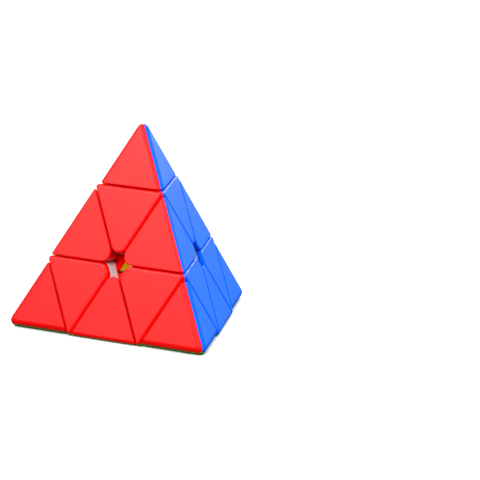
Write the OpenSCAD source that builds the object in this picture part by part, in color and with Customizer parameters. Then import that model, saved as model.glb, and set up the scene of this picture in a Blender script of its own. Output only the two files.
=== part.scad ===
// Pyramid twisty puzzle: a regular tetrahedron cut into four tips, four axial
// corner blocks and six edge wedges, which turn in layers about four axes.
// The origin is the middle of the round core, where the four turning axes
// meet, and +Z points out through the top corner.

/* [Pyramid] */
// Length of one long edge, measured between the sharp corners
edge_length = 98; // [94:1:102]
// Clear gap between neighbouring blocks
gap = 0.4; // [0.3:0.05:0.5]
// Rounding of the six long edges
edge_round = 1.5; // [1:0.1:2]
// Rounding of the four outer corners
corner_round = 2.4; // [1.5:0.1:3]
// Width of the rounding of the panel edges along the grooves
groove_w = 0.8; // [0.5:0.1:1.1]

/* [Opening in the middle of each face] */
// Distance from the middle of a face to the nearest block
hole_r = 4.3; // [3.5:0.1:5]
// Rounding of the block corners around the opening
hole_round = 3.6; // [2:0.1:4]

/* [Colour panels] */
// Thickness of the coloured panels on the corner blocks and tips
panel_t = 2; // [1.6:0.1:2.4]
// Wall thickness of the corner blocks around their pockets
frame_wall = 1.6; // [1.4:0.1:2]
// Wall thickness of the hollow edge wedges
edge_wall = 2.4; // [2:0.1:3]
// Width of the square locating pegs
peg_w = 2.2; // [1.8:0.1:2.4]

/* [Core mechanism] */
// Radius of the core ball
core_r = 10; // [9.6:0.1:10.2]
// Thickness of the feet that hold the edge wedges in
foot_t = 3.6; // [3:0.1:3.8]
// Distance of the cut between two feet from the core's middle
foot_cut = 2.2; // [2:0.05:2.3]
// Thickness of the half foot that laps over the other half's foot
lap_t = 1; // [0.8:0.1:1.2]
// Radius of the sleeve that carries each corner block
sleeve_r = 4.7; // [4.4:0.1:4.7]
// Shank radius of the axis screws
screw_r = 1.4; // [1.2:0.1:1.5]
// Wire radius of the axis springs
wire_r = 0.3; // [0.25:0.05:0.35]
// Number of turns of each spring
spring_turns = 5; // [4:1:6]

/* [Tips] */
// Radius of the post that each tip turns on
post_r = 4; // [3.7:0.1:4.1]
// Length of the post below the tip
post_len = 7.8; // [7:0.1:8]

/* [Hidden] */
$fn = 48;

// The four turning axes: top, left front, right front and back.
TOP = 0;
LEFT = 1;
RIGHT = 2;
BACK = 3;
AXES = [
    [0, 0, 1],
    [-sqrt(2 / 3), -sqrt(2) / 3, -1 / 3],
    [sqrt(2 / 3), -sqrt(2) / 3, -1 / 3],
    [0, 2 * sqrt(2) / 3, -1 / 3]
];
// Each face lies opposite the axis of the same index.
GREEN = TOP;
BLUE = LEFT;
YELLOW = RIGHT;
RED = BACK;
FACE_COLOUR = ["#1fa83a", "#3d8bff", "#f2d413", "#ff4a48"];
WHITE = "#e9e9e6";
STEEL = "#b9bcc0";

height = edge_length * sqrt(2 / 3);
face_d = height / 4;            // middle of the core to a face
layer_d = height / 12;          // middle of the core to a layer cut
tip_d = 5 * height / 12;        // middle of the core to a tip cut
corner_d = 3 * height / 4;      // middle of the core to a sharp corner
g = gap / 2;
foot_r1 = core_r + 0.2;
foot_r2 = foot_r1 + foot_t;
lap_r = foot_r2 - lap_t;        // where the two halves of a foot meet
groove_acute = groove_w * sqrt(0.5);
groove_obtuse = groove_w * sqrt(2);
shell_r = foot_r2 + gap;        // inside radius of the blocks around the feet
post_z = tip_d - post_len;      // bottom of the tip's post
well_z = post_z - 0.5;          // where the wide well of the post ends
head_h = 2.2;
head_r = 2.7;
head_z = well_z - 0.8 - head_h; // underside of the screw head
washer_t = 0.6;
seat_z = 15;                    // floor of the spring pocket
pocket_r = 3.3;
big = 260;

function unit(v) = v / norm(v);
// A plane is [outward normal, distance]; the solid side is the inner one.
function face(i) = [-AXES[i], face_d];
function inner_face(i, t) = [-AXES[i], face_d - t];
function above(i, d) = [-AXES[i], -d];
function under(i, d) = [AXES[i], d];
// Plane that replaces the sharp edge of planes p and q by a rounding of radius r
function bevel(p, q, r) =
    let (s = p[0] + q[0], m = norm(s))
    [s / m, (p[1] + q[1]) / m - r * (2 / m - 1)];
// Direction of axis i as seen within face w
function in_face(i, w) = unit(AXES[i] - (AXES[i] * AXES[w]) * AXES[w]);
// Plane across the block corner that points at the middle of face w
function corner_cut(e) = [-e, -hole_r];

// Rotation that carries axes 0 to 3 onto the axes listed in p
function even(p) =
    (cross(AXES[p[0]], AXES[p[1]]) * AXES[p[2]]) * (cross(AXES[0], AXES[1]) * AXES[2]) > 0
    ? p : [p[0], p[2], p[1], p[3]];
function turn(p) = [for (r = [0 : 2])
    [for (c = [0 : 2]) 0.75 * (AXES[p[0]][r] * AXES[0][c] + AXES[p[1]][r] * AXES[1][c]
        + AXES[p[2]][r] * AXES[2][c] + AXES[p[3]][r] * AXES[3][c])]];
function others(a, b) = [for (i = [0 : 3]) if (i != a && i != b) i];
// Order that puts axis x first and face w last
function order_block(x, w) = let (o = others(x, w)) even([x, o[0], o[1], w]);
// Order for the half of an edge wedge that shows face w, with z the other face
function order_edge(w, z) = let (o = others(w, z), p = [o[0], o[1], z, w])
    (cross(AXES[p[0]], AXES[p[1]]) * AXES[p[2]]) * (cross(AXES[0], AXES[1]) * AXES[2]) > 0
    ? p : [p[1], p[0], p[2], p[3]];

module place(p) {
    m = turn(p);
    multmatrix([[m[0][0], m[0][1], m[0][2], 0], [m[1][0], m[1][1], m[1][2], 0],
        [m[2][0], m[2][1], m[2][2], 0], [0, 0, 0, 1]]) children();
}

// Everything on the inner side of one plane
module side(p) {
    rotate([0, acos(p[0][2]), atan2(p[0][1], p[0][0])])
        translate([-big / 2, -big / 2, p[1] - big]) cube(big);
}

module cell(planes) {
    intersection_for (p = planes) side(p);
}

// Square peg that stands on face w; n is its inner end and its outer end
module face_peg(w, e, from_d, to_d, width) {
    z = -AXES[w];
    y = e;
    x = cross(y, z);
    multmatrix([[x[0], y[0], z[0], 0], [x[1], y[1], z[1], 0], [x[2], y[2], z[2], 0], [0, 0, 0, 1]])
        translate([-width / 2, -width / 2, from_d]) cube([width, width, to_d - from_d]);
}

// ---------------------------------------------------------------- corner block

function axial_planes(w) = concat(
    [under(0, tip_d - g), above(0, layer_d + g)],
    [for (i = [1 : 3]) under(i, layer_d - g)]
);

function axial_corner(w) = let (e = in_face(0, w), c = corner_cut(e)) concat([c],
    [for (i = [1 : 3]) if (i != w) bevel(c, under(i, layer_d - g), hole_round)]);

module peg_pair(w, centre, spread, from_d, to_d, width) {
    e = in_face(0, w);
    x = cross(e, -AXES[w]);
    for (s = [-1, 1])
        translate(e * centre + x * s * spread)
            face_peg(w, e, from_d, to_d, width);
}

// Pocket under the tip, in the corner of the block that points along axis i
module lightening_pocket(i) {
    o = others(0, i);
    out = unit([AXES[i][0], AXES[i][1], 0]);
    cell([inner_face(o[0], panel_t + frame_wall), inner_face(o[1], panel_t + frame_wall),
        [-out, -(post_r + 0.8 + frame_wall)], under(i, layer_d - g - frame_wall),
        above(0, 22.5), under(0, tip_d + 5)]);
}

module axial_frame() {
    color(WHITE)
    difference() {
        union() {
            difference() {
                cell(concat(axial_planes(0), axial_corner(1), axial_corner(2), axial_corner(3),
                    [for (i = [1 : 3]) inner_face(i, panel_t)]));
                sphere(r = shell_r, $fn = 96);
            }
            translate([0, 0, 9]) cylinder(r = sleeve_r, h = 9);
        }
        sphere(r = foot_r1, $fn = 96);
        cylinder(r = screw_r + 0.2, h = 40);
        translate([0, 0, seat_z]) cylinder(r = pocket_r, h = 30);
        translate([0, 0, well_z]) cylinder(r = post_r + 0.2, h = 30);
        translate([0, 0, well_z + 1.3]) cylinder(r = post_r + 0.8, h = 1.8);
        for (i = [1 : 3]) lightening_pocket(i);
        for (w = [1 : 3]) peg_pair(w, 14, 4.6, face_d - panel_t - 2.2, face_d, peg_w + 0.1);
    }
}

module axial_panel() {
    union() {
        intersection() {
            cell(concat(axial_planes(0), axial_corner(3), [face(3), side_of_panel(3, 1), side_of_panel(3, 2),
                bevel(face(3), face(1), edge_round), bevel(face(3), face(2), edge_round),
                bevel(face(3), under(0, tip_d - g), groove_obtuse),
                bevel(face(3), under(1, layer_d - g), groove_obtuse),
                bevel(face(3), under(2, layer_d - g), groove_obtuse),
                bevel(face(3), corner_cut(in_face(0, 3)), groove_obtuse)]));
            side([AXES[3], -(face_d - panel_t)]);
        }
        peg_pair(3, 14, 4.6, face_d - panel_t - 2, face_d - panel_t / 2, peg_w);
    }
}

// Mitre between the panel of face w and the panel of face v
function side_of_panel(w, v) = [unit(AXES[w] - AXES[v]), 0];

module axial_frame_at(x) { place(order_block(x, (x + 3) % 4)) axial_frame(); }
module axial_panel_at(x, w) { color(FACE_COLOUR[w]) place(order_block(x, w)) axial_panel(); }

// ------------------------------------------------------------------------ tip

module tip_frame() {
    color(WHITE)
    difference() {
        union() {
            cell(concat([above(0, tip_d + g)], [for (i = [1 : 3]) inner_face(i, panel_t)]));
            translate([0, 0, post_z]) cylinder(r = post_r, h = post_len + 2);
            translate([0, 0, post_z + 1.4]) cylinder(r1 = post_r, r2 = post_r + 0.5, h = 0.5);
            translate([0, 0, post_z + 1.9]) cylinder(r1 = post_r + 0.5, r2 = post_r, h = 0.5);
        }
        translate([0, 0, post_z - 1]) cylinder(r = post_r - 1.4, h = post_len + 9);
        translate([-0.4, -10, post_z - 1]) cube([0.8, 20, 6]);
        translate([-10, -0.4, post_z - 1]) cube([20, 0.8, 6]);
        for (w = [1 : 3]) face_peg_at(w, 1.8, peg_w + 0.1);
    }
}

// Peg in the lower half of a tip's panel
module face_peg_at(w, deep, width) {
    e = in_face(0, w);
    translate(e * 35.5) face_peg(w, e, face_d - panel_t - deep, face_d - panel_t / 2, width);
}

module tip_panel() {
    union() {
        cell([above(0, tip_d + g), face(3), [AXES[3], -(face_d - panel_t)],
            side_of_panel(3, 1), side_of_panel(3, 2),
            bevel(face(3), face(1), edge_round), bevel(face(3), face(2), edge_round),
            under(0, corner_d - 2 * corner_round),
            bevel(face(3), above(0, tip_d + g), groove_acute)]);
        face_peg_at(3, 1.6, peg_w);
    }
}

module tip_frame_at(x) { place(order_block(x, (x + 3) % 4)) tip_frame(); }
module tip_panel_at(x, w) { color(FACE_COLOUR[w]) place(order_block(x, w)) tip_panel(); }

// ----------------------------------------------------------------- edge wedge

// Middle line of the wedge between axes 0 and 1, and the split plane's normal
EDGE_MID = unit(AXES[0] + AXES[1]);
EDGE_ALONG = unit(AXES[0] - AXES[1]);

module edge_peg(s, from_w, to_w, width, at) {
    x = EDGE_ALONG;
    y = EDGE_MID;
    z = cross(x, y);
    f = z * AXES[3] < 0 ? 1 : -1;
    multmatrix([[x[0], y[0], z[0], 0], [x[1], y[1], z[1], 0], [x[2], y[2], z[2], 0], [0, 0, 0, 1]])
        translate([s * at - width / 2, 18.4 - width / 2, f > 0 ? from_w : -to_w])
            cube([width, width, to_w - from_w]);
}

// Half of an edge wedge. The two halves meet in the middle plane of the wedge.
// In the foot the half that laps is a thin skin over the other half's foot.
module edge_half(laps) {
    e = -in_face(2, 3);
    c = corner_cut(e);
    split = [unit(AXES[3] - AXES[2]), 0];
    foot = [above(0, foot_cut + g), above(1, foot_cut + g),
        under(2, foot_cut - g), under(3, foot_cut - g)];
    difference() {
        union() {
            difference() {
                cell([above(0, layer_d + g), above(1, layer_d + g), face(3), split,
                    bevel(face(3), face(2), edge_round),
                    bevel(face(3), above(0, layer_d + g), groove_acute),
                    bevel(face(3), above(1, layer_d + g), groove_acute),
                    c, bevel(face(3), c, groove_w),
                    bevel(c, above(0, layer_d + g), hole_round),
                    bevel(c, above(1, layer_d + g), hole_round)]);
                // hollow behind the face
                cell([above(0, layer_d + g + edge_wall), above(1, layer_d + g + edge_wall),
                    inner_face(3, edge_wall), [AXES[3] - AXES[2], 10] , [-EDGE_MID, -21],
                    inner_face(2, edge_wall)]);
            }
            intersection() {
                cell(concat(foot, [split]));
                sphere(r = foot_r2, $fn = 96);
            }
            if (!laps) intersection() {
                cell(foot);
                sphere(r = lap_r - 0.05, $fn = 96);
            }
            edge_peg(1, -1.5, 2, peg_w, 2.4);
        }
        sphere(r = laps ? lap_r + 0.05 : foot_r1, $fn = 96);
        edge_peg(-1, -1, 1.8, peg_w + 0.1, 2.4);
    }
}

// Each wedge's half with the higher face number laps over the other
module edge_half_at(w, z) { color(FACE_COLOUR[w]) place(order_edge(w, z)) edge_half(w > z); }

// ------------------------------------------------------------------ core parts

module on_axes() {
    for (i = [0 : 3]) place(order_block(i, (i + 3) % 4)) children();
}

module core() {
    color(WHITE)
    difference() {
        sphere(r = core_r, $fn = 96);
        on_axes() translate([0, 0, 3.2]) cylinder(r = screw_r - 0.15, h = 12);
    }
}

module axis_screws() {
    color(STEEL) on_axes() difference() {
        union() {
            translate([0, 0, 3.6]) cylinder(r = screw_r, h = head_z - 3);
            translate([0, 0, head_z]) cylinder(r = head_r, h = head_h);
        }
        translate([-0.4, -1.5, head_z + head_h - 1.2]) cube([0.8, 3, 2]);
        translate([-1.5, -0.4, head_z + head_h - 1.2]) cube([3, 0.8, 2]);
    }
}

// Closed tube of radius r along a coil
function coil(r_mid, z0, z1, turns, per_turn, sides, r) = let (n = turns * per_turn) [
    for (k = [0 : n]) for (j = [0 : sides - 1])
        let (a = 360 * k / per_turn, b = 360 * j / sides, rr = r_mid + r * cos(b),
            lift = min(1, k / per_turn, (n - k) / per_turn),
            z = z0 + r + (z1 - z0 - 2 * r) * k / n)
        [rr * cos(a), rr * sin(a), z + r * sin(b)]];

module spring() {
    sides = 6;
    per_turn = 14;
    n = spring_turns * per_turn;
    pts = coil(2.4, seat_z + 0.2, head_z - washer_t - 0.05, spring_turns, per_turn, sides, wire_r);
    polyhedron(points = pts, faces = concat(
        [[for (j = [0 : sides - 1]) j]],
        [[for (j = [sides - 1 : -1 : 0]) n * sides + j]],
        [for (k = [0 : n - 1]) for (j = [0 : sides - 1])
            [k * sides + j, (k + 1) * sides + j, (k + 1) * sides + (j + 1) % sides, k * sides + (j + 1) % sides]]));
}

module axis_springs() { color(STEEL) on_axes() spring(); }

module axis_washers() {
    color(STEEL) on_axes() translate([0, 0, head_z - washer_t]) difference() {
        cylinder(r = pocket_r - 0.25, h = washer_t);
        translate([0, 0, -1]) cylinder(r = screw_r + 0.15, h = 3);
    }
}

// ----------------------------------------------------------------- named parts

module axial_top_frame() { axial_frame_at(TOP); }
module axial_top_red_panel() { axial_panel_at(TOP, RED); }
module axial_top_blue_panel() { axial_panel_at(TOP, BLUE); }
module axial_top_yellow_panel() { axial_panel_at(TOP, YELLOW); }
module axial_left_frame() { axial_frame_at(LEFT); }
module axial_left_red_panel() { axial_panel_at(LEFT, RED); }
module axial_left_yellow_panel() { axial_panel_at(LEFT, YELLOW); }
module axial_left_green_panel() { axial_panel_at(LEFT, GREEN); }
module axial_right_frame() { axial_frame_at(RIGHT); }
module axial_right_red_panel() { axial_panel_at(RIGHT, RED); }
module axial_right_blue_panel() { axial_panel_at(RIGHT, BLUE); }
module axial_right_green_panel() { axial_panel_at(RIGHT, GREEN); }
module axial_back_frame() { axial_frame_at(BACK); }
module axial_back_blue_panel() { axial_panel_at(BACK, BLUE); }
module axial_back_yellow_panel() { axial_panel_at(BACK, YELLOW); }
module axial_back_green_panel() { axial_panel_at(BACK, GREEN); }
module tip_top_frame() { tip_frame_at(TOP); }
module tip_top_red_panel() { tip_panel_at(TOP, RED); }
module tip_top_blue_panel() { tip_panel_at(TOP, BLUE); }
module tip_top_yellow_panel() { tip_panel_at(TOP, YELLOW); }
module tip_left_frame() { tip_frame_at(LEFT); }
module tip_left_red_panel() { tip_panel_at(LEFT, RED); }
module tip_left_yellow_panel() { tip_panel_at(LEFT, YELLOW); }
module tip_left_green_panel() { tip_panel_at(LEFT, GREEN); }
module tip_right_frame() { tip_frame_at(RIGHT); }
module tip_right_red_panel() { tip_panel_at(RIGHT, RED); }
module tip_right_blue_panel() { tip_panel_at(RIGHT, BLUE); }
module tip_right_green_panel() { tip_panel_at(RIGHT, GREEN); }
module tip_back_frame() { tip_frame_at(BACK); }
module tip_back_blue_panel() { tip_panel_at(BACK, BLUE); }
module tip_back_yellow_panel() { tip_panel_at(BACK, YELLOW); }
module tip_back_green_panel() { tip_panel_at(BACK, GREEN); }
module edge_top_left_red_half() { edge_half_at(RED, YELLOW); }
module edge_top_left_yellow_half() { edge_half_at(YELLOW, RED); }
module edge_top_right_red_half() { edge_half_at(RED, BLUE); }
module edge_top_right_blue_half() { edge_half_at(BLUE, RED); }
module edge_top_back_blue_half() { edge_half_at(BLUE, YELLOW); }
module edge_top_back_yellow_half() { edge_half_at(YELLOW, BLUE); }
module edge_left_right_red_half() { edge_half_at(RED, GREEN); }
module edge_left_right_green_half() { edge_half_at(GREEN, RED); }
module edge_right_back_blue_half() { edge_half_at(BLUE, GREEN); }
module edge_right_back_green_half() { edge_half_at(GREEN, BLUE); }
module edge_left_back_yellow_half() { edge_half_at(YELLOW, GREEN); }
module edge_left_back_green_half() { edge_half_at(GREEN, YELLOW); }

core();
axis_screws();
axis_springs();
axis_washers();
axial_top_frame();
axial_top_red_panel();
axial_top_blue_panel();
axial_top_yellow_panel();
axial_left_frame();
axial_left_red_panel();
axial_left_yellow_panel();
axial_left_green_panel();
axial_right_frame();
axial_right_red_panel();
axial_right_blue_panel();
axial_right_green_panel();
axial_back_frame();
axial_back_blue_panel();
axial_back_yellow_panel();
axial_back_green_panel();
tip_top_frame();
tip_top_red_panel();
tip_top_blue_panel();
tip_top_yellow_panel();
tip_left_frame();
tip_left_red_panel();
tip_left_yellow_panel();
tip_left_green_panel();
tip_right_frame();
tip_right_red_panel();
tip_right_blue_panel();
tip_right_green_panel();
tip_back_frame();
tip_back_blue_panel();
tip_back_yellow_panel();
tip_back_green_panel();
edge_top_left_red_half();
edge_top_left_yellow_half();
edge_top_right_red_half();
edge_top_right_blue_half();
edge_top_back_blue_half();
edge_top_back_yellow_half();
edge_left_right_red_half();
edge_left_right_green_half();
edge_right_back_blue_half();
edge_right_back_green_half();
edge_left_back_yellow_half();
edge_left_back_green_half();
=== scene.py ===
import math

import bmesh
import bpy
import numpy as np
from mathutils import Matrix, Vector


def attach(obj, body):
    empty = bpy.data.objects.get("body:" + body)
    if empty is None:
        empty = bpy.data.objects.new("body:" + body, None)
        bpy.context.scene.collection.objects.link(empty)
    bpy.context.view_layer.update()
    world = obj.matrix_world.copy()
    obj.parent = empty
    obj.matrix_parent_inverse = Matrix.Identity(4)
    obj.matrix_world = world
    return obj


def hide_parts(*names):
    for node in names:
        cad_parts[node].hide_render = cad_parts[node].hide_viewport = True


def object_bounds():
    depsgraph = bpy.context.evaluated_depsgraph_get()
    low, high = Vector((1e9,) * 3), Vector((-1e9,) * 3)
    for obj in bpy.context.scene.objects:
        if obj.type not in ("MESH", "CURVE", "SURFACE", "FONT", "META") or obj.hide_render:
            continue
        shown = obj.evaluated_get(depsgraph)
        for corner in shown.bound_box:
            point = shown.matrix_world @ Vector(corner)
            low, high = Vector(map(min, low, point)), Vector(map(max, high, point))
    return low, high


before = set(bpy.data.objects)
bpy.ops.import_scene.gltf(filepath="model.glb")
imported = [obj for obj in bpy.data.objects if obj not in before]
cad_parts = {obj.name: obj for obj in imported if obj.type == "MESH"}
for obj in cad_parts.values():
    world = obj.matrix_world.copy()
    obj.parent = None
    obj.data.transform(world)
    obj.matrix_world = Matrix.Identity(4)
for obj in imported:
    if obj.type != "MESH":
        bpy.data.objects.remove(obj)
CAD_BOX = [list(map(float, v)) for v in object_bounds()]

# ------------------------------------------------------------------ dimensions, mm
EDGE = 98.0
GAP = 0.4
EDGE_ROUND = 1.5
CORNER_ROUND = 2.4
GROOVE_W = 0.7  # width of the rounding along the grooves, measured on the face
HOLE_R = 4.3
HOLE_ARC = 3.6
PANEL = 2.0
FRAME_WALL = 1.6
CORE_R = 10.0
FOOT_T = 3.6
FOOT_CUT = 2.2
LAP_T = 1.0
SLEEVE_R = 4.7
SCREW_R = 1.4
POST_R = 4.0
POST_LEN = 7.8
POCKET_R = 3.3
SEAT_Z = 15.0
SEAM = 0.03

HEIGHT = EDGE * math.sqrt(2 / 3)
FACE_D = HEIGHT / 4
LAYER_D = HEIGHT / 12
TIP_D = 5 * HEIGHT / 12
CORNER_D = 3 * HEIGHT / 4
G = GAP / 2
ROUND_ACUTE = GROOVE_W * math.sqrt(0.5)
ROUND_OBTUSE = GROOVE_W * math.sqrt(2)
FOOT_R1 = CORE_R + 0.2
FOOT_R2 = FOOT_R1 + FOOT_T
LAP_R = FOOT_R2 - LAP_T
SHELL_R = FOOT_R2 + GAP
POST_Z = TIP_D - POST_LEN
WELL_Z = POST_Z - 0.5

AX = [
    np.array(v)
    for v in (
        (0.0, 0.0, 1.0),
        (-math.sqrt(2 / 3), -math.sqrt(2) / 3, -1 / 3),
        (math.sqrt(2 / 3), -math.sqrt(2) / 3, -1 / 3),
        (0.0, 2 * math.sqrt(2) / 3, -1 / 3),
    )
]
CORNER = {"top": 0, "left": 1, "right": 2, "back": 3}
FACE = {"green": 0, "blue": 1, "yellow": 2, "red": 3}

def unit(v):
    return v / np.linalg.norm(v)


def face(i, inset=0.0):
    return (-AX[i], FACE_D - inset)


def above(i, d):
    return (-AX[i], -d)


def under(i, d):
    return (AX[i], d)


def in_face(i, w):
    return unit(AX[i] - (AX[i] @ AX[w]) * AX[w])


def turn(p):
    m = sum(0.75 * np.outer(AX[p[i]], AX[i]) for i in range(4))
    return Matrix(m.tolist()).to_4x4()


def is_even(p):
    ref = np.dot(np.cross(AX[0], AX[1]), AX[2])
    return np.dot(np.cross(AX[p[0]], AX[p[1]]), AX[p[2]]) * ref > 0


def order_block(x, w):
    o = [i for i in range(4) if i not in (x, w)]
    p = [x, o[0], o[1], w]
    return p if is_even(p) else [x, o[1], o[0], w]


def order_edge(w, z):
    o = [i for i in range(4) if i not in (w, z)]
    p = [o[0], o[1], z, w]
    return p if is_even(p) else [o[1], o[0], z, w]


# ------------------------------------------------------------------ convex solids
def arc_planes(p, q, r, steps):
    """Planes that touch the rounding of radius r between planes p and q."""
    a = math.acos(max(-1, min(1, float(p[0] @ q[0]))))
    out = []
    for k in range(1, steps):
        t = k / steps
        s0, s1 = math.sin((1 - t) * a) / math.sin(a), math.sin(t * a) / math.sin(a)
        out.append((s0 * p[0] + s1 * q[0], s0 * (p[1] - r) + s1 * (q[1] - r) + r))
    return out


def corner_planes(e, sides, inset=0.0, steps=7):
    """Round block corner that points at the middle of a face. e points from there into the block."""
    c = (-e, -(HOLE_R + inset))
    out = [c]
    for p in sides:
        out += arc_planes(c, p, HOLE_ARC, steps)
    return out


def ball_planes(n1, n2, n3, centre, r, n=5):
    """Planes that touch a ball between three face normals."""
    out = []
    for i in range(n + 1):
        for j in range(n + 1 - i):
            v = i * n1 + j * n2 + (n - i - j) * n3
            if max(i, j, n - i - j) == n:
                continue
            v = unit(v)
            out.append((v, float(v @ centre) + r))
    return out


def vertices(planes):
    """Corners of the convex solid inside all the planes."""
    n = np.array([p[0] for p in planes])
    d = np.array([p[1] for p in planes])
    m = len(planes)
    i, j, k = np.array([(a, b, c) for a in range(m) for b in range(a + 1, m) for c in range(b + 1, m)]).T
    mats = np.stack([n[i], n[j], n[k]], axis=1)
    det = np.linalg.det(mats)
    ok = np.abs(det) > 1e-5
    pts = np.linalg.solve(mats[ok], np.stack([d[i], d[j], d[k]], axis=1)[ok][..., None])[..., 0]
    inside = (pts @ n.T <= d + 1e-6).all(axis=1)
    pts = pts[inside]
    keep = []
    for p in pts[np.lexsort(np.round(pts.T, 5))]:
        if not keep or min(np.linalg.norm(np.array(keep[-40:]) - p, axis=1)) > 2e-5:
            keep.append(p)
    return np.array(keep)


def ico_directions(level=3):
    bm = bmesh.new()
    bmesh.ops.create_icosphere(bm, subdivisions=level, radius=1.0)
    out = np.array([v.co[:] for v in bm.verts])
    bm.free()
    return out


ICO = ico_directions()


def rounded(planes, r, step_deg=9.0):
    """bmesh of the convex solid inside the planes, with every edge rounded to radius r."""
    inner = [(n, d - r) for n, d in planes]
    v = vertices(inner)
    n = np.array([p[0] for p in inner])
    d = np.array([p[1] for p in inner])
    on = np.abs(v @ n.T - d) < 1e-4
    used = [i for i in range(len(n)) if on[:, i].sum() >= 3]
    pts = []
    for i in used:
        pts += [p + n[i] * r for p in v[on[:, i]]]
    for a in range(len(used)):
        for b in range(a + 1, len(used)):
            i, j = used[a], used[b]
            both = v[on[:, i] & on[:, j]]
            if len(both) < 2:
                continue
            ang = math.acos(max(-1, min(1, float(n[i] @ n[j]))))
            k = max(1, int(math.ceil(math.degrees(ang) / step_deg)))
            for s in range(1, k):
                t = s / k
                u = (math.sin((1 - t) * ang) * n[i] + math.sin(t * ang) * n[j]) / math.sin(ang)
                pts += [p + u * r for p in both]
    best = np.argmax(ICO @ v.T, axis=1)
    near = np.max(ICO @ n[used].T, axis=1) < math.cos(math.radians(3.5))
    pts += [v[best[i]] + ICO[i] * r for i in range(len(ICO)) if near[i]]
    pts = np.unique(np.round(np.array(pts), 6), axis=0)
    return hull(pts)


def hull(pts):
    bm = bmesh.new()
    for p in pts:
        bm.verts.new(p)
    res = bmesh.ops.convex_hull(bm, input=bm.verts[:], use_existing_faces=False)
    inside = [g for g in set(res["geom_interior"] + res["geom_unused"]) if isinstance(g, bmesh.types.BMVert)]
    bmesh.ops.delete(bm, geom=inside, context="VERTS")
    loose = [x for x in bm.verts if not x.link_faces]
    bmesh.ops.delete(bm, geom=loose, context="VERTS")
    tidy(bm)
    return bm


def tidy(bm, dist=1e-4, angle=0.35):
    bmesh.ops.remove_doubles(bm, verts=bm.verts, dist=dist)
    bmesh.ops.dissolve_limit(
        bm, angle_limit=math.radians(angle), verts=bm.verts, edges=bm.edges, use_dissolve_boundaries=False
    )
    bmesh.ops.recalc_face_normals(bm, faces=bm.faces)


def cut(bm, plane):
    """Cuts a closed convex mesh with a plane and closes it again; keeps the inner side."""
    n, d = plane
    n = np.array(n, float)
    d = d / np.linalg.norm(n)
    n = unit(n)
    geom = bm.verts[:] + bm.edges[:] + bm.faces[:]
    res = bmesh.ops.bisect_plane(
        bm, geom=geom, dist=1e-5, plane_co=Vector(n * d), plane_no=Vector(n), clear_outer=True
    )
    rim = [e for e in bm.edges if e.is_boundary]
    if rim:
        bmesh.ops.edgeloop_fill(bm, edges=rim)
    bmesh.ops.recalc_face_normals(bm, faces=bm.faces)
    return bm


def sharp_cell(planes):
    return hull(vertices(planes))


# ------------------------------------------------------------------ mesh helpers
def to_object(bm, name):
    me = bpy.data.meshes.new(name)
    bm.to_mesh(me)
    bm.free()
    o = bpy.data.objects.new(name, me)
    bpy.context.scene.collection.objects.link(o)
    return o


def boolean(a, b, how):
    """a (how) b, both objects; b is used up."""
    m = a.modifiers.new("b", "BOOLEAN")
    m.operation = how
    m.solver = "EXACT"
    m.object = b
    bpy.context.view_layer.update()
    dg = bpy.context.evaluated_depsgraph_get()
    me = bpy.data.meshes.new_from_object(a.evaluated_get(dg))
    a.modifiers.clear()
    old = a.data
    a.data = me
    bpy.data.meshes.remove(old)
    mb = b.data
    bpy.data.objects.remove(b)
    bpy.data.meshes.remove(mb)
    return a


def lathe(profile, seg=64, name="lathe"):
    """Closed solid of revolution about Z from (radius, z) points, bottom to top."""
    bm = bmesh.new()
    rings = []
    for r, z in profile:
        if r < 1e-9:
            rings.append([bm.verts.new((0, 0, z))])
        else:
            rings.append(
                [bm.verts.new((r * math.cos(2 * math.pi * k / seg), r * math.sin(2 * math.pi * k / seg), z)) for k in range(seg)]
            )
    for a, b in zip(rings, rings[1:]):
        for k in range(seg):
            m = (k + 1) % seg
            if len(a) == 1:
                bm.faces.new((a[0], b[m], b[k]))
            elif len(b) == 1:
                bm.faces.new((a[k], a[m], b[0]))
            else:
                bm.faces.new((a[k], a[m], b[m], b[k]))
    if len(rings[0]) > 1:
        bm.faces.new(rings[0][::-1])
    if len(rings[-1]) > 1:
        bm.faces.new(rings[-1])
    bmesh.ops.recalc_face_normals(bm, faces=bm.faces)
    return to_object(bm, name)


def ball(r, name="ball", seg=96, rings=48):
    bm = bmesh.new()
    bmesh.ops.create_uvsphere(bm, u_segments=seg, v_segments=rings, radius=r)
    return to_object(bm, name)


def finish_mesh(o, sharp_deg=28.0, flats=()):
    """Tidies a canonical mesh, in millimetres, and marks its sharp edges and frosted flats."""
    bm = bmesh.new()
    bm.from_mesh(o.data)
    tidy(bm, 2e-4, 0.3)
    for f in bm.faces:
        f.smooth = True
        c, n = np.array(f.calc_center_median()), np.array(f.normal)
        on_flat = any(n @ p[0] > 0.9999 and abs(c @ p[0] - p[1]) < 0.01 for p in flats)
        # faces off the flats take the second material, whose darker, more saturated base colour is painted groove
        # shade on the roundings
        f.material_index = 0 if on_flat or not flats else 1
    for e in bm.edges:
        e.smooth = not (len(e.link_faces) == 2 and e.calc_face_angle(0) > math.radians(sharp_deg))
    bm.to_mesh(o.data)
    bm.free()
    return o


def instance(proto, name, p, body, replaced, mat):
    me = proto.data.copy()
    me.name = name
    me.transform(Matrix.Scale(0.001, 4) @ turn(p))
    o = bpy.data.objects.new(name, me)
    bpy.context.scene.collection.objects.link(o)
    index = [f.material_index for f in me.polygons]
    me.materials.clear()
    for one in mat if isinstance(mat, tuple) else (mat,):
        me.materials.append(one)
    me.polygons.foreach_set("material_index", index)
    w = o.modifiers.new("normals", "WEIGHTED_NORMAL")
    w.keep_sharp = True
    w.weight = 90
    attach(o, body)
    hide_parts(replaced)
    return o


# ------------------------------------------------------------------ canonical pieces
def axial_planes(inset=0.0):
    out = [under(0, TIP_D - G - inset), above(0, LAYER_D + G + inset)]
    out += [under(i, LAYER_D - G - inset) for i in (1, 2, 3)]
    for w in (1, 2, 3):
        out += corner_planes(in_face(0, w), [under(i, LAYER_D - G - inset) for i in (1, 2, 3) if i != w], inset)
    return out


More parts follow.
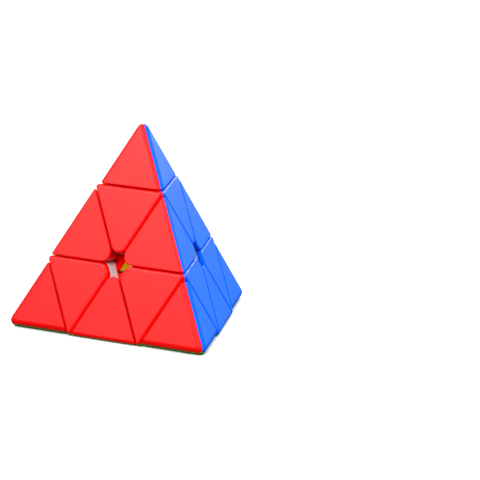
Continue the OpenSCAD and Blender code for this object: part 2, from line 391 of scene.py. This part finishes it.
def peg_box(w, centre, off, lo, hi, width):
    """Square peg on face w, as a closed box."""
    z = -AX[w]
    y = in_face(0, w)
    x = np.cross(y, z)
    c = y * centre + x * off
    return sharp_cell(
        [
            (x, float(x @ c) + width / 2),
            (-x, -float(x @ c) + width / 2),
            (y, float(y @ c) + width / 2),
            (-y, -float(y @ c) + width / 2),
            (z, hi),
            (-z, -lo),
        ]
    )


def make_axial_panel():
    planes = axial_planes() + [face(1), face(2), face(3)]
    planes += arc_planes(face(3), face(1), EDGE_ROUND, 8) + arc_planes(face(3), face(2), EDGE_ROUND, 8)
    # the two other long edges and the far corners don't touch this panel
    bm = rounded(planes, ROUND_OBTUSE)
    cut(bm, (AX[3], -(FACE_D - PANEL)))
    for v in (1, 2):
        cut(bm, (unit(AX[3] - AX[v]), -SEAM))
    return finish_mesh(to_object(bm, "axial_panel"), flats=[face(3)])


def make_tip_panel():
    planes = [above(0, TIP_D + G), face(1), face(2), face(3)]
    planes += arc_planes(face(3), face(1), EDGE_ROUND, 8) + arc_planes(face(3), face(2), EDGE_ROUND, 8)
    planes += arc_planes(face(1), face(2), EDGE_ROUND, 4)
    c = AX[0] * 3 * (FACE_D - CORNER_ROUND)
    planes += ball_planes(-AX[1], -AX[2], -AX[3], c, CORNER_ROUND, 6)
    bm = rounded(planes, ROUND_ACUTE)
    cut(bm, (AX[3], -(FACE_D - PANEL)))
    for v in (1, 2):
        cut(bm, (unit(AX[3] - AX[v]), -SEAM))
    return finish_mesh(to_object(bm, "tip_panel"), flats=[face(3)])


def make_edge_half(laps):
    """Half of an edge wedge. In the foot the half that laps is a thin skin over the other."""
    planes = [above(0, LAYER_D + G), above(1, LAYER_D + G), face(2), face(3)]
    planes += arc_planes(face(3), face(2), EDGE_ROUND, 8)
    sides = planes[:2]
    planes += corner_planes(-in_face(2, 3), sides) + corner_planes(-in_face(3, 2), sides)
    bm = rounded(planes, ROUND_ACUTE)
    split = (unit(AX[3] - AX[2]), -SEAM)
    cut(bm, split)
    body = to_object(bm, "edge_half")
    foot = [
        above(0, FOOT_CUT + G),
        above(1, FOOT_CUT + G),
        under(2, FOOT_CUT - G),
        under(3, FOOT_CUT - G),
        (unit(AX[0] + AX[1]), 16.0),
    ]
    inner = LAP_R + 0.05 if laps else FOOT_R1
    own = to_object(rounded(foot + [split], 0.25, 20), "own_foot")
    boolean(own, ball(FOOT_R2), "INTERSECT")
    boolean(own, ball(inner), "DIFFERENCE")
    if laps:
        boolean(body, ball(inner), "DIFFERENCE")
    boolean(body, own, "UNION")
    if not laps:
        under_lap = to_object(rounded(foot, 0.25, 20), "under_foot")
        boolean(under_lap, ball(LAP_R - 0.05), "INTERSECT")
        boolean(under_lap, ball(FOOT_R1), "DIFFERENCE")
        boolean(body, under_lap, "UNION")
    return finish_mesh(body, flats=[face(3)])


def make_axial_frame():
    planes = axial_planes(0.12) + [face(i, PANEL + 0.02) for i in (1, 2, 3)]
    o = to_object(rounded(planes, 0.3, 15), "axial_frame")
    boolean(o, ball(SHELL_R), "DIFFERENCE")
    boolean(o, lathe([(SLEEVE_R, 9.0), (SLEEVE_R, 18.0)]), "UNION")
    boolean(o, ball(FOOT_R1), "DIFFERENCE")
    well = lathe(
        [
            (SCREW_R + 0.2, 0.0),
            (SCREW_R + 0.2, SEAT_Z),
            (POCKET_R, SEAT_Z),
            (POCKET_R, WELL_Z),
            (POST_R + 0.2, WELL_Z),
            (POST_R + 0.2, WELL_Z + 1.3),
            (POST_R + 0.8, WELL_Z + 1.3),
            (POST_R + 0.8, WELL_Z + 3.1),
            (POST_R + 0.2, WELL_Z + 3.1),
            (POST_R + 0.2, TIP_D - G - 0.5),
            (POST_R + 0.7, TIP_D - G + 0.0),
            (POST_R + 0.7, TIP_D + 4),
        ]
    )
    boolean(o, well, "DIFFERENCE")
    for i in (1, 2, 3):
        other = [k for k in (1, 2, 3) if k != i]
        out = unit(np.array([AX[i][0], AX[i][1], 0.0]))
        pocket = rounded(
            [
                face(other[0], PANEL + FRAME_WALL),
                face(other[1], PANEL + FRAME_WALL),
                (-out, -(POST_R + 0.8 + FRAME_WALL)),
                under(i, LAYER_D - G - FRAME_WALL),
                above(0, 22.5),
                under(0, TIP_D + 3),
            ],
            0.5,
            22,
        )
        boolean(o, to_object(pocket, "pocket"), "DIFFERENCE")
    return finish_mesh(o)


def make_tip_frame():
    planes = [above(0, TIP_D + G + 0.05)] + [face(i, PANEL + 0.02) for i in (1, 2, 3)]
    o = to_object(rounded(planes, 0.3, 15), "tip_frame")
    post = lathe(
        [
            (POST_R - 1.4, POST_Z),
            (POST_R - 0.3, POST_Z),
            (POST_R, POST_Z + 0.3),
            (POST_R, POST_Z + 1.4),
            (POST_R + 0.5, POST_Z + 1.9),
            (POST_R, POST_Z + 2.4),
            (POST_R, TIP_D + 2),
        ]
    )
    boolean(o, post, "UNION")
    boolean(o, lathe([(POST_R - 1.4, POST_Z - 1), (POST_R - 1.4, TIP_D + 8)]), "DIFFERENCE")
    for a, b in ((0.4, 10), (10, 0.4)):
        x, y, z = np.eye(3)
        slot = sharp_cell([(x, a), (-x, a), (y, b), (-y, b), (z, POST_Z + 5), (-z, -(POST_Z - 1))])
        boolean(o, to_object(slot, "slot"), "DIFFERENCE")
    return finish_mesh(o)


# ------------------------------------------------------------------ materials
def node(nt, kind, **v):
    n = nt.nodes.new(kind)
    for k, x in v.items():
        setattr(n, k, x)
    return n


def plastic(name, base, light, dark, rough=0.42, grain=0.00022, bump=0.10, spec=0.5, sss=0.0):
    """Moulded plastic: fine spark-eroded grain, faint flow variation, a little uneven gloss."""
    m = bpy.data.materials.new(name)
    m.use_nodes = True
    nt = m.node_tree
    nt.nodes.clear()
    out = node(nt, "ShaderNodeOutputMaterial")
    b = node(nt, "ShaderNodeBsdfPrincipled")
    nt.links.new(b.outputs[0], out.inputs[0])
    b.inputs["IOR"].default_value = 1.5
    b.inputs["Specular IOR Level"].default_value = spec
    if sss:
        b.inputs["Subsurface Weight"].default_value = sss
        b.inputs["Subsurface Radius"].default_value = (1.0, 0.5, 0.4)
        b.inputs["Subsurface Scale"].default_value = 0.0006
    tc = node(nt, "ShaderNodeTexCoord")
    flow = node(nt, "ShaderNodeTexNoise")
    flow.inputs["Scale"].default_value = 60
    flow.inputs["Detail"].default_value = 5
    flow.inputs["Roughness"].default_value = 0.55
    nt.links.new(tc.outputs["Object"], flow.inputs["Vector"])
    ramp = node(nt, "ShaderNodeValToRGB")
    e = ramp.color_ramp.elements
    e[0].position, e[0].color = 0.3, (*dark, 1)
    e[1].position, e[1].color = 0.7, (*light, 1)
    mid = ramp.color_ramp.elements.new(0.5)
    mid.color = (*base, 1)
    nt.links.new(flow.outputs["Fac"], ramp.inputs["Fac"])
    speck = node(nt, "ShaderNodeTexNoise")
    speck.inputs["Scale"].default_value = 1 / grain * 0.5
    speck.inputs["Detail"].default_value = 2
    nt.links.new(tc.outputs["Object"], speck.inputs["Vector"])
    mix = node(nt, "ShaderNodeMix", data_type="RGBA", blend_type="MULTIPLY")
    mix.inputs["Factor"].default_value = 0.10
    spread = node(nt, "ShaderNodeMapRange")
    spread.inputs["From Min"].default_value = 0.3
    spread.inputs["From Max"].default_value = 0.7
    spread.inputs["To Min"].default_value = 0.75
    spread.inputs["To Max"].default_value = 1.1
    nt.links.new(speck.outputs["Fac"], spread.inputs["Value"])
    nt.links.new(ramp.outputs["Color"], mix.inputs[6])
    nt.links.new(spread.outputs[0], mix.inputs[7])
    nt.links.new(mix.outputs[2], b.inputs["Base Color"])
    # gloss that varies slowly over the moulding, with the grain on top
    gl = node(nt, "ShaderNodeTexNoise")
    gl.inputs["Scale"].default_value = 140
    gl.inputs["Detail"].default_value = 4
    nt.links.new(tc.outputs["Object"], gl.inputs["Vector"])
    mr = node(nt, "ShaderNodeMapRange")
    mr.inputs["To Min"].default_value = rough - 0.05
    mr.inputs["To Max"].default_value = rough + 0.07
    nt.links.new(gl.outputs["Fac"], mr.inputs["Value"])
    nt.links.new(mr.outputs[0], b.inputs["Roughness"])
    bp = node(nt, "ShaderNodeBump")
    bp.inputs["Strength"].default_value = bump
    bp.inputs["Distance"].default_value = 0.00006
    grain_n = node(nt, "ShaderNodeTexNoise")
    grain_n.inputs["Scale"].default_value = 1 / grain
    grain_n.inputs["Detail"].default_value = 3
    grain_n.inputs["Roughness"].default_value = 0.6
    nt.links.new(tc.outputs["Object"], grain_n.inputs["Vector"])
    nt.links.new(grain_n.outputs["Fac"], bp.inputs["Height"])
    wave = node(nt, "ShaderNodeBump")
    wave.inputs["Strength"].default_value = 0.12
    wave.inputs["Distance"].default_value = 0.0004
    nt.links.new(flow.outputs["Fac"], wave.inputs["Height"])
    nt.links.new(bp.outputs[0], wave.inputs["Normal"])
    nt.links.new(wave.outputs[0], b.inputs["Normal"])
    return m


def metal(name, base, rough):
    m = bpy.data.materials.new(name)
    m.use_nodes = True
    nt = m.node_tree
    b = nt.nodes["Principled BSDF"]
    b.inputs["Metallic"].default_value = 1.0
    tc = node(nt, "ShaderNodeTexCoord")
    n = node(nt, "ShaderNodeTexNoise")
    n.inputs["Scale"].default_value = 900
    n.inputs["Detail"].default_value = 4
    nt.links.new(tc.outputs["Object"], n.inputs["Vector"])
    ramp = node(nt, "ShaderNodeValToRGB")
    ramp.color_ramp.elements[0].color = tuple(c * 0.85 for c in base) + (1,)
    ramp.color_ramp.elements[1].color = tuple(min(1, c * 1.1) for c in base) + (1,)
    nt.links.new(n.outputs["Fac"], ramp.inputs["Fac"])
    nt.links.new(ramp.outputs["Color"], b.inputs["Base Color"])
    mr = node(nt, "ShaderNodeMapRange")
    mr.inputs["To Min"].default_value = rough - 0.08
    mr.inputs["To Max"].default_value = rough + 0.1
    nt.links.new(n.outputs["Fac"], mr.inputs["Value"])
    nt.links.new(mr.outputs[0], b.inputs["Roughness"])
    bp = node(nt, "ShaderNodeBump")
    bp.inputs["Strength"].default_value = 0.15
    bp.inputs["Distance"].default_value = 0.00005
    nt.links.new(n.outputs["Fac"], bp.inputs["Height"])
    nt.links.new(bp.outputs[0], b.inputs["Normal"])
    return m


def pair(name, flat, side, spec=0.22, rough=0.34):
    """Frosted flat and smoother rounding of one panel colour; the rounding's deeper, darker base colour is painted
    shade of the grooves.
    """
    def shades(c, lo, hi):
        return tuple(min(1.0, x * hi) for x in c), tuple(x * lo for x in c)

    return (
        plastic(name + "_frosted", flat, *shades(flat, 0.95, 1.04), rough=0.46, bump=0.12, spec=0.32),
        # rounding: smoother gloss, with a darker base colour that paints the groove shade
        plastic(name + "_smooth", side, *shades(side, 0.96, 1.03), rough=rough, bump=0.03, spec=spec),
    )


# per colour: the flat's own colour, then a darker copy for the roundings that paints shade into the grooves
MAT = {
    "red": pair("red_abs", (0.97, 0.008, 0.008), (0.93, 0.0008, 0.0008)),
    "blue": pair("blue_abs", (0.004, 0.165, 0.93), (0.001, 0.11, 0.88), 0.05, 0.45),
    "yellow": pair("yellow_abs", (0.95, 0.66, 0.012), (0.93, 0.60, 0.006)),
    "green": pair("green_abs", (0.02, 0.42, 0.035), (0.01, 0.36, 0.02)),
}
WHITE = plastic("white_abs", (0.86, 0.86, 0.84), (0.89, 0.89, 0.875), (0.80, 0.80, 0.78), rough=0.36, bump=0.05)
STEEL = metal("zinc_steel", (0.62, 0.62, 0.64), 0.32)
WIRE = metal("spring_wire", (0.52, 0.52, 0.54), 0.28)

# ------------------------------------------------------------------ placing
proto = {
    "axial_panel": make_axial_panel(),
    "tip_panel": make_tip_panel(),
    "edge_lap_half": make_edge_half(True),
    "edge_base_half": make_edge_half(False),
    "axial_frame": make_axial_frame(),
    "tip_frame": make_tip_frame(),
}
for name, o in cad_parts.items():
    parts = name.split("_")
    if name == "core":
        o.data.materials.clear()
        o.data.materials.append(WHITE)
        continue
    if name.startswith("axis_"):
        o.data.materials.clear()
        o.data.materials.append(WIRE if name == "axis_springs" else STEEL)
        continue
    if parts[0] in ("axial", "tip"):
        x = CORNER[parts[1]]
        body = parts[0] + "_" + parts[1]
        if parts[2] == "frame":
            instance(proto[parts[0] + "_frame"], "look_" + name, order_block(x, (x + 3) % 4), body, name, WHITE)
        else:
            w = FACE[parts[2]]
            instance(proto[parts[0] + "_panel"], "look_" + name, order_block(x, w), body, name, MAT[parts[2]])
    else:
        a, b, col = CORNER[parts[1]], CORNER[parts[2]], parts[3]
        w = FACE[col]
        z = next(i for i in range(4) if i not in (a, b, w))
        kind = "edge_lap_half" if w > z else "edge_base_half"
        instance(proto[kind], "look_" + name, order_edge(w, z), "edge_%s_%s" % (parts[1], parts[2]), name, MAT[col])
for o in proto.values():
    me = o.data
    bpy.data.objects.remove(o)
    bpy.data.meshes.remove(me)

# ------------------------------------------------------------------ floor, light, camera
def floor_material():
    m = bpy.data.materials.new("floor_white")
    m.use_nodes = True
    b = m.node_tree.nodes["Principled BSDF"]
    b.inputs["Base Color"].default_value = (0.93, 0.93, 0.93, 1)
    b.inputs["Roughness"].default_value = 0.7
    b.inputs["Specular IOR Level"].default_value = 0.2
    return m


floor_z = CAD_BOX[0][2] - 0.00005
bm = bmesh.new()
s = 3.0
bm.faces.new([bm.verts.new(v) for v in ((-s, -s, floor_z), (s, -s, floor_z), (s, s, floor_z), (-s, s, floor_z))])
floor = to_object(bm, "floor")
floor.data.materials.append(floor_material())

world = bpy.data.worlds.new("studio")
bpy.context.scene.world = world
world.use_nodes = True
wt = world.node_tree
bg = wt.nodes["Background"]
coord = wt.nodes.new("ShaderNodeTexCoord")
split_dir = wt.nodes.new("ShaderNodeSeparateXYZ")
lift = wt.nodes.new("ShaderNodeMapRange")
lift.interpolation_type = "SMOOTHSTEP"
lift.inputs["From Min"].default_value = 0.10
lift.inputs["From Max"].default_value = 0.75
lift.inputs["To Min"].default_value = 0.12
lift.inputs["To Max"].default_value = 1.0
wt.links.new(coord.outputs["Generated"], split_dir.inputs[0])
wt.links.new(split_dir.outputs["Z"], lift.inputs["Value"])
wt.links.new(lift.outputs[0], bg.inputs[1])
bg.inputs[0].default_value = (1, 1, 1, 1)
# the underside sees a dark room: the floor stays out of the light it would throw back
floor.visible_glossy = False
floor.visible_diffuse = False


def area(name, loc, size, power, target=(0, 0, 0), sheen=False):
    ld = bpy.data.lights.new(name, "AREA")
    ld.shape = "DISK"
    ld.size = size
    ld.energy = power
    lo = bpy.data.objects.new(name, ld)
    bpy.context.scene.collection.objects.link(lo)
    lo.location = loc
    lo.rotation_mode = "QUATERNION"
    lo.rotation_quaternion = (Vector(target) - Vector(loc)).to_track_quat("-Z", "Y")
    lo.visible_camera = False
    lo.visible_diffuse = not sheen
    lo.visible_glossy = sheen
    return lo


area("key", (0.25, -0.75, 0.62), 0.6, 8.6)
area("fill", (0.95, 0.30, 0.50), 0.7, 8.6)
area("top", (0.05, 0.1, 1.1), 0.7, 3.0)
area("back", (-0.75, 0.43, 0.55), 0.6, 6.0)
# soft cards that lay a sheen over the upper half of each face, and one for the edges
area("sheen_front", (-0.21, -0.25, 0.27), 0.20, 1.25, (0, 0, 0.03), True)
area("sheen_back", (-0.06, 0.32, 0.19), 0.20, 1.9, (0, 0, 0.03), True)
area("sheen_edge", (0.20, -0.25, 0.52), 0.22, 0.8, (0, 0, 0.03), True)

# camera: azimuth and elevation of the view, with the optical axis at the picture's middle
AZ, EL, DIST, FPX, TX, TY, ROLL = 40.22, 12.85, 1.5, 4104.3, 147.78, 268.55, -2.43
az, el, roll = map(math.radians, (AZ, EL, ROLL))
back = np.array([math.sin(az) * math.cos(el), -math.cos(az) * math.cos(el), math.sin(el)])
fw = -back
rt = unit(np.cross(fw, [0, 0, 1.0]))
up = np.cross(rt, fw)
fw2 = unit(fw + rt * -(TX - 240) / FPX + up * (TY - 240) / FPX)
rt2 = unit(np.cross(fw2, up))
up2 = np.cross(rt2, fw2)
rt3 = rt2 * math.cos(roll) + up2 * math.sin(roll)
up3 = -rt2 * math.sin(roll) + up2 * math.cos(roll)
cd = bpy.data.cameras.new("camera")
cam = bpy.data.objects.new("camera", cd)
bpy.context.scene.collection.objects.link(cam)
m = Matrix(((rt3[0], up3[0], -fw2[0]), (rt3[1], up3[1], -fw2[1]), (rt3[2], up3[2], -fw2[2]))).to_4x4()
m.translation = Vector(back * DIST)
cam.matrix_world = m
cd.sensor_width = 36.0
cd.lens = 36.0 * FPX / 480.0
cd.clip_start, cd.clip_end = 0.05, 20
bpy.context.scene.camera = cam
bpy.context.scene.view_settings.view_transform = "Standard"
